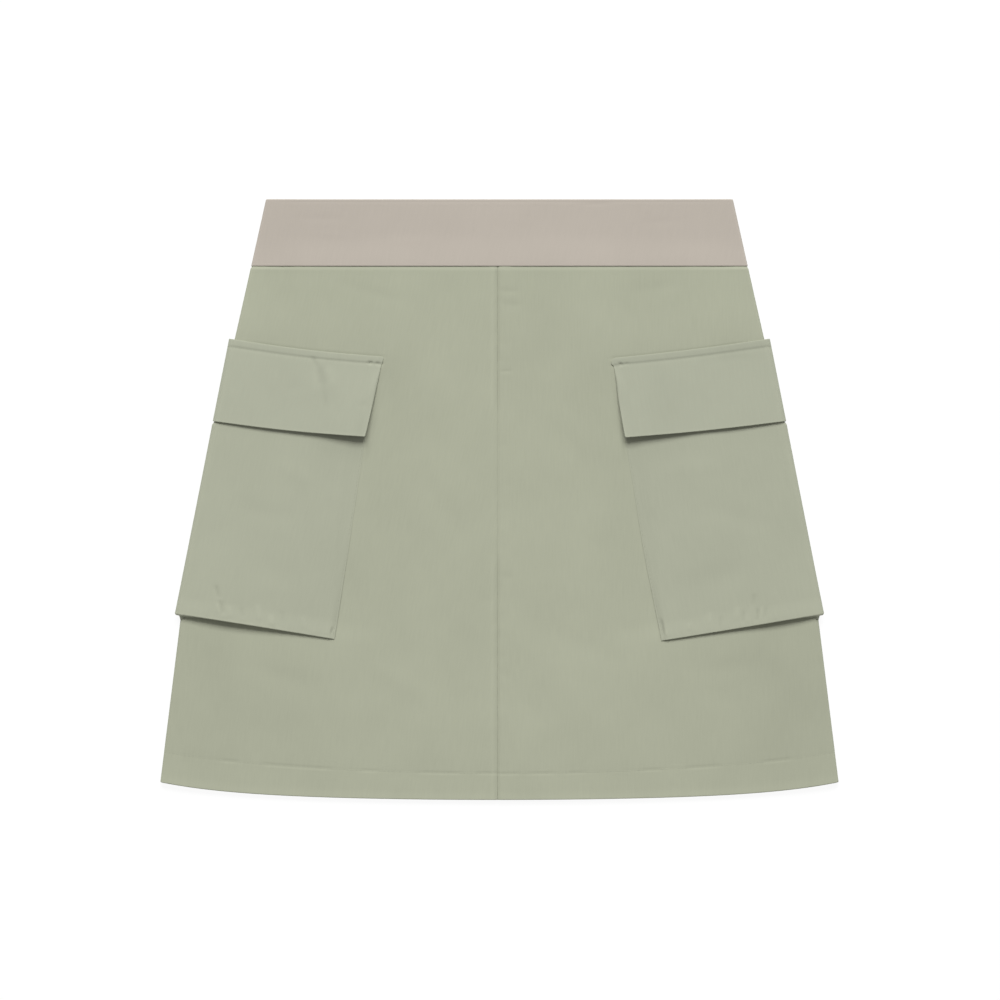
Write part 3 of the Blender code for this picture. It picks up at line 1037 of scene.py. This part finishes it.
def pocketSpot(side):
    column = 1 if side == "left" else 2
    puckers = gathers(11 + column, 0.12, 6 * mm)

    def spot(row, station, inside):
        turned = max(row - 3, 0.0)  # past 3 the cloth turns down into the closing wall
        row = min(row, 3)
        front, back, fromEdge = fromEdges(row, station)
        wall = mix(pocket["edgeWall"], pocket["wall"], ease(fromEdge, 7 * mm, 9 * mm))
        wall = mix(pocket["edgeThin"], wall, ease(fromEdge, 0, pocket["pressed"][1]))
        fromMouth = (row - pocket["mouth"]) * rowLength[1]
        edge = max(round01(fromEdge, pocket["edgeThin"] / 2) * round01(fromMouth, wall / 2), leastEdge)
        lower = ease(row, *pocket["lowerPart"])
        lift = follow(pocket["lift"], column, min(station, 2)) * mm
        lift *= ease(row, 2.0, 3.1) / ease(3, 2.0, 3.1)
        top = mix(pocket["mouthStand"], skirt["pocketStand"], ease(row, pocket["mouth"], 1.95))
        top = mix(mix(*pocket["edgeStand"][side], lower), top, ease(front, 0, mix(*pocket["pressed"], lower)))
        top += lift
        bottom = skirt["pocketStand"] + skirt["returnRoom"] * ease(row, skirt["roomRow"], 3)
        bottom -= ridge(back, *pocket["stitchDipBack"])
        reach = reachOut(row) - skirt["flapStand"] * fade(row, 1.988, 2.02)
        if row > turnRow:
            return closing(side, station, turned, inside, edge, (top, bottom, reach))
        if station < 2:
            relief = creaseHeight(pocket["creases"][side], *lies(side, row, station))
            relief += pocket["allowanceRise"] * fade(front, pocket["allowance"], pocket["allowance"] + 3 * mm)
            relief -= lower * ridge(front, *pocket["stitchDip"])
            fromFoot = (3 - row) * rowLength[2]
            if fromFoot < 16 * mm:
                relief += pocket["gather"] * gathered(puckers, front) * bell(fromFoot, pocket["gatherWide"])
            top += relief * onTop(station) * fade(row, 2.965, turnRow)
        inset = setIn(wall, edge, inside)
        point = place(side, row, station, top - inset, bottom - inset, reach - inset)
        bow = pocket["frontBow"][side] * math.sin(math.pi * ease(row, 2.1, 3.0)) * fade(station, 1, 1.4)
        return point - Vector((sign[side] * bow, 0, 0))

    return spot


def curve(start, middle, end, share):
    # a soft bend from start to end, drawn towards the middle
    return start * (1 - share) ** 2 + middle * 2 * share * (1 - share) + end * share * share


def closing(side, station, turned, inside, edge, stands):
    # the lower edge's turn and the short wall under it: 0 is the start of the turn, 1 the wall's foot
    less = pocket["wall"] if inside else 0.0
    squeeze = (1 - edge) * pocket["wall"] / 2 * (-1 if inside else 1)
    atSide = within(station, 1.80, 2.15, 2.85, 3.1)
    foot = mix(-pocket["footIn"], pocket["footOut"], atSide)
    bent = min(pocket["turn"] / math.hypot(foot, stands[0]), 0.6)  # the bend's share of the wall
    onWall = Vector((foot * bent - less, 1 - bent))
    if turned < turnShare:
        start, middle = Vector((-pocket["turn"], 1.0)), Vector((-less, 1.0))
        path = curve(start, middle, onWall, turned / turnShare)
    else:
        folded, end = Vector((-less - pocket["folded"] * atSide, 0.45)), Vector((foot - less, 0.0))
        path = curve(onWall, folded, end, (turned - turnShare) / (1 - turnShare))
    row = 3 + path[0] / rowLength[2 if path[0] < 0 else 3]
    heights = [mix(pocket["footStand"], stand - less - squeeze, path[1]) for stand in stands]
    return place(side, row, station, *heights)


def pocketTone(side):
    kept, shadeOut = pocket["kept"][side]
    patches = gathers(31, 0.12, 7 * mm)
    creased = fineTone(pocket["creases"][side])

    def tone(row, station):
        front = fromEdges(min(row, 3), station)[0]
        fromFoot = (3 - row) * rowLength[2]
        # painted highlight along the lower edge
        edge = fade(fromFoot, 0.8 * mm, 2.8 * mm) if row <= 3 else fade(row, 3.15, 3.4)
        shade = pocket["light"][side] + pocket["worn"][side] * edge * (1 + 0.9 * gathered(patches, front))
        shade += 0.006 * fade(station, 1.0, 1.4)
        # painted shade just under the flap
        shade -= kept * fade(row, 2.04, 2.15) * fade(front, shadeOut / 2, shadeOut)
        if station > 2:
            return shade
        # painted shade along the front edge's stitches
        shade -= ease(row, 2.35, 2.9) * ridge(front, *pocket["dust"])
        return shade + creased(*lies(side, min(row, 3), station))

    return tone


mouthRings = [pocket["mouth"] + far / rowLength[1] for far in rings(pocket["wall"] / 2)]
pocketRows = stops(pocket["mouth"], (*pocket["rowSteps"], (turnRow, pocket["turnStep"])))[:-1]
pocketRows = mouthRings + [row for row in pocketRows if row > mouthRings[-1] + 0.005]
pocketRows += [3 + k / 20 for k in range(21)]
pocketLine = wrapStops(pocket["steps"], pocket["foldSteps"], pocket["edgeThin"] / 2)
layBoth("pocket", "_bag", pocketRows, pocketLine, pocketSpot, pocketTwill, "pocket_twill", pocketTone)
print("pockets laid")

flap = {
    "wall": 1.1 * mm,  # double
    "topWall": 0.5 * mm,
    "depth": 60.5 * mm,
    "gather": 0.14 * mm,  # puckers along its seam
    "gatherWide": 4 * mm,
    "edgeBulk": 0.60 * mm,  # the turned allowances hold its front edge up
    "edgeRoll": 1.3 * mm,  # and round it
    "sideFill": 0.3 * mm,  # at the side they fill the top edge up to this far from the skirt
    "backDip": (0.40 * mm, 5.6 * mm, 0.8 * mm),  # the seam on the underside
    # distance down, height above the skirt, in mm
    "stand": (
        (0, 0.48), (1, 0.64), (2.6, 0.7), (4.2, 0.74), (5, 0.62), (5.7, 0.43), (6.5, 0.57),
        (8, 0.74), (12, 0.95), (21, 1.36), (32, 1.78), (46, 2.25), (61, 2.72),
    ),
    # how far its front edge swings out to the side below the tack, and over what length
    "notch": {"left": (0.1 * mm, 7 * mm), "right": (0.9 * mm, 11 * mm)},
    "topCorner": {"left": 1.8 * mm, "right": 3.6 * mm},  # radius
    "lowCorner": 1.3 * mm,
    # how far the lower edge is lifted, in mm: station, left, right
    "lift": (
        (1, 3.1, 3.3), (1.1, 4.2, 3.7), (1.3, 2.2, 2.4), (1.5, 1.4, 1.3),
        (1.7, 1.1, 1.4), (1.88, 0.7, 0.9), (2, 0.4, 0.5),
    ),
    "curl": 1.7,  # how late on its way down the lift sets in
    "creases": {
        "left": (
            (-141, 117.6, -136.3, 127.6, 1.3, -0.46), (-135.6, 125, -132.2, 142, 2.5, -0.5),
            (-132.8, 138, -130, 158.5, 2.3, -0.26), (-128.5, 145, -120.5, 166, 4.2, -0.14),
            (-129, 125, -123.5, 143, 3.4, 0.24), (-139, 129, -137.5, 148, 3, 0.16),
            (-160, 140, -148, 142, 3.5, -0.1), (-107, 154.5, -99, 154, 1.8, -0.16),
        ),
        "right": (
            (118, 133, 124, 156, 4, -0.12), (160, 121, 190, 118, 3, -0.1),
        ),
    },
    "light": {"left": 1.0, "right": 0.987},
    # painted shade on the strip above its seam
    "seamDust": {"left": 0.028, "right": 0.050},
    "inner": 0.050,  # painted shade down its front, against the light its lifted front catches
    "worn": 0.030,  # painted highlight along its edges
    "rubbed": 0.020,  # and a further painted highlight along the front edge and at the lower corner
    "rowSteps": ((0.009, 0.0007), (0.048, 0.0019)),  # down to here, this far apart
    "lowStep": 0.0012,
    "steps": (0.0070, 0.0130, 0.022),
    "foldSteps": 24,
}


def flapSpot(side):
    column = 1 if side == "left" else 2
    puckers = gathers(19 + column, 0.12, 7 * mm)
    creases = flap["creases"][side] + flapSeam["tacks"][side]
    topCorner, lowCorner = flap["topCorner"][side], flap["lowCorner"]
    deep, wide = flap["notch"][side]

    def spot(far, station, inside):
        row = 1 + far / flap["depth"]
        front, _, fromEdge = fromEdges(row, station)
        wall = mix(flap["topWall"], flap["wall"], ease(far, 0, 8 * mm))
        bulky = within(far, 7 * mm, 19 * mm, 22 * mm, 40 * mm)
        edge = round01(far, wall / 2) * round01(flap["depth"] - far, wall / 2)
        edge *= round01(fromEdge, mix(wall / 2, flap["edgeRoll"], bulky))
        inset = setIn(wall, edge, inside)
        curled = max((row - skirt["mouthRow"]) / (2 - skirt["mouthRow"]), 0.0) ** flap["curl"]
        top = follow(flap["stand"], 1, far / mm) * mm
        top += follow(flap["lift"], column, min(station, 2)) * mm * curled
        top += flap["edgeBulk"] * bulky * within(front, -0.5 * mm, 1.6 * mm, 1.6 * mm, 8 * mm)
        bottom = skirt["flapStand"] + skirt["pocketStand"] * ease(row, 1, skirt["mouthRow"])
        bottom -= ridge(far, *flap["backDip"]) * ease(station, 2.9, 3.05)
        reach = reachOut(row) - inset
        if inside:
            bulk = math.sin(math.pi * between(station, 2, 3)) ** 0.5 * fade(far, 2 * mm, 6.5 * mm)
            reach = mix(reach, flap["sideFill"], bulk)
        # the corners fall back as they round
        shift = topCorner * (1 - round01(fromEdge, topCorner)) * fade(far, 0, 7 * mm)
        shift -= lowCorner * (1 - round01(fromEdge, lowCorner)) * fade(flap["depth"] - far, 0, 5 * mm)
        notch = deep * fade(fromEdge, 0, 12 * mm)
        notch *= ease(far, 3.5 * mm, 7 * mm) if far < 4 * mm + wide else bell(far - 4 * mm - wide, wide)
        if station < 2:
            relief = creaseHeight(creases, *lies(side, row, station))
            if far < 14 * mm:
                puckered = gathered(puckers, front) * bell(far - 4 * mm, flap["gatherWide"])
                relief += flap["gather"] * puckered
            top += relief * onTop(station)
        point = place(side, row, station, top - inset, bottom - inset, reach, shift)
        return point + Vector((sign[side] * notch, 0, 0))

    return spot


def flapTone(side):
    patches = gathers(43, 0.18, 9 * mm)
    creased = fineTone(flap["creases"][side] + flapSeam["tacks"][side])

    def tone(far, station):
        row = 1 + far / flap["depth"]
        front, _, fromSides = fromEdges(row, station)
        fromEdge = min(far, flap["depth"] - far, fromSides)
        fromCorner = math.hypot(front, flap["depth"] - far)
        # painted highlights along the edges, the front edge and the lower corner
        worn = flap["worn"] * fade(fromEdge, 0.6 * mm, 2.6 * mm) * ease(far, 4 * mm, 7 * mm)
        shade = flap["light"][side] + worn * (1 + 0.8 * gathered(patches, front + far))
        rubbed = fade(front, 3 * mm, 7 * mm) * ease(far, 12 * mm, 20 * mm)
        shade += flap["rubbed"] * (rubbed + fade(fromCorner, 1.5 * mm, 5 * mm))
        # painted shade down its front
        shade -= flap["inner"] * fade(front, 20 * mm, 80 * mm) * ease(far, 8 * mm, 44 * mm)
        # painted shade on the strip above its seam
        shade -= flap["seamDust"][side] * fade(far, 5.5 * mm, 8 * mm)
        return shade if station > 2 else shade + creased(*lies(side, row, station))

    return tone


flapRows = withRings(stops(0, (*flap["rowSteps"], (flap["depth"], flap["lowStep"]))), flap["wall"] / 2)
flapLine = wrapStops(flap["steps"], flap["foldSteps"], flap["wall"] / 2)
layBoth("flap", "_cloth", flapRows, flapLine, flapSpot, flapTwill, "flap_twill", flapTone)
print("flaps laid")

stitch = {
    "length": 2.2 * mm,
    "pitch": 3.0 * mm,
    "width": 0.42 * mm,
    "height": 0.30 * mm,
    "sunk": 0.06 * mm,
}


def stitchAlong(seam, spot, track):
    # sets stitches one after another along a line of rows and stations
    count = 500
    marks = [track(k / count) for k in range(count + 1)]
    line = [spot(row, station, False) for row, station in marks]
    gone = [0.0]
    for k in range(count):
        gone.append(gone[-1] + (line[k + 1] - line[k]).length)
    number = int(gone[-1] / stitch["pitch"])
    k = 1
    for index in range(number):
        middle = (index + 0.5) * gone[-1] / number
        while gone[k + 1] < middle:
            k += 1
        along = (line[k + 1] - line[k - 1]).normalized()
        up = line[k] - spot(*marks[k], True)
        up = (up - along * up.dot(along)).normalized()
        sizes = (up.cross(along) * stitch["width"], up * stitch["height"], along * stitch["length"])
        turned = Matrix(sizes).transposed().to_4x4()
        turned.translation = line[k] - up * stitch["sunk"]
        bmesh.ops.create_uvsphere(seam, u_segments=6, v_segments=4, radius=0.5, matrix=turned)


sewn = {}


def sew(name, sheet, slot, lines):
    # all the stitches of one sheet
    seam = bmesh.new()
    for spot, track in lines:
        stitchAlong(seam, spot, track)
    piece = newPiece(name, seam, sageThread)
    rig.ride(piece, "root")
    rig.slot(piece, slot)
    sewn[sheet] = [piece]
    print(name, len(piece.data.polygons), "faces")


def alongRow(row, first, last):
    return lambda share: (row, mix(first, last, share))


def alongEdge(edge):
    # beside a pocket's front edge (station 1) or back edge (station 4)

    def track(share):
        row = mix(1.95, 2.975, share)
        front, back, _ = fromEdges(row, edge)
        return row, edge + pocket["stitch"] / (front + back) * (3 if edge == 1 else -3)

    return track


for side in sides:
    name = "flap_" + side
    seamLine = alongRow(flapSeam["down"], 1.03, 3.97)
    sew(name + "_stitching", name + "_cloth", "flap_twill", [(flapSpot(side), seamLine)])
    name = "pocket_" + side
    edgeLines = [(pocketSpot(side), alongEdge(edge)) for edge in (1, 4)]
    sew(name + "_stitching", name + "_bag", "pocket_twill", edgeLines)
    name = "front_" + side
    hemLine = alongRow(panel["hemStitch"], 0.02, 2.4)
    sew(name + "_hem_stitching", name + "_panel", "skirt_twill", [(panelSpot(side), hemLine)])
hemLine = alongRow(panel["hemStitch"], 2.6, 7.4)
sew("back_hem_stitching", "back_panel", "skirt_twill", [(backSpot, hemLine)])
print("stitches set")

studio = {
    "floorSize": 6,
    "floorDown": 0.4 * mm,
    "floorColour": (0.08, 0.08, 0.08, 1),
    "floorRough": 0.95,
    "floorGlow": 0.92,  # keeps the paper white under the skirt's edges
    "keyPower": 2340.0,
    "keySize": (9.6, 6.4),
    "keyAway": 14.0,
    "keyHeight": 43.0,  # degrees above the floor, from the waist's side
    "fill": 0.30,
    "lens": 135.0,
    "filmWide": 36,
    "cameraSees": 0.752,  # metres across the frame at the cloth
    "clothHeight": 2.5 * mm,
    "cameraX": 0.0004,
    "cameraY": -0.0003,
}

white = (1, 1, 1, 1)
paper = newMaterial("whitePaper", {
    "Base Color": studio["floorColour"], "Roughness": studio["floorRough"],
    "Emission Color": white, "Emission Strength": studio["floorGlow"],
})
ground = bmesh.new()
bmesh.ops.create_grid(ground, x_segments=8, y_segments=8, size=studio["floorSize"])
bmesh.ops.translate(ground, verts=ground.verts[:], vec=(0, 0, -studio["floorDown"]))
floor = newPiece("floor", ground, paper)
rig.stage(floor)

world = bpy.data.worlds.new("studioAir")
world.use_nodes = True
setInputs(world.node_tree, world.node_tree.nodes["Background"], {"Color": white, "Strength": studio["fill"]})
bpy.context.scene.world = world

key = bpy.data.lights.new("softbox", "AREA")
key.shape = "RECTANGLE"
key.size, key.size_y = studio["keySize"]
key.energy = studio["keyPower"]
lamp = addObject("softbox", key)
height = math.radians(studio["keyHeight"])
lamp.location = (0, studio["keyAway"] * math.cos(height), studio["keyAway"] * math.sin(height))
lamp.rotation_euler = (-Vector(lamp.location)).to_track_quat("-Z", "Y").to_euler()

lens = bpy.data.cameras.new("overhead")
lens.sensor_width = studio["filmWide"]
lens.lens = studio["lens"]
camera = addObject("overhead", lens)
away = studio["cameraSees"] * studio["lens"] / studio["filmWide"]
camera.location = (studio["cameraX"], studio["cameraY"], studio["clothHeight"] + away)
bpy.context.scene.camera = camera
bpy.context.scene.view_settings.view_transform = "Standard"
print("studio set")

restsOn = {
    "back_panel": ["pocket_left_bag", "pocket_right_bag"],
    "front_left_panel": ["back_panel"],
    "front_right_panel": ["back_panel"],
    "waistband_front_cloth": ["waistband_back_cloth"],
    "waistband_back_cloth": [],
    "pocket_left_bag": ["front_left_panel"],
    "pocket_right_bag": ["front_right_panel"],
    "flap_left_cloth": ["pocket_left_bag"],
    "flap_right_cloth": ["pocket_right_bag"],
}

for name, (piece, size, area) in sheets.items():
    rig.sheet(
        piece, flat=size, held="laid", rests_on=restsOn[name],
        area=min(area, size[0] * size[1]), with_pieces=sewn.get(name, ()),
    )
low, high = cadBox
newLow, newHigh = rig.bounds()
with open("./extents.json", "w") as out:
    json.dump({"cad": [list(low), list(high)], "visual": [list(newLow), list(newHigh)]}, out)
print("visual box", [round(v, 4) for v in (*newLow, *newHigh)])
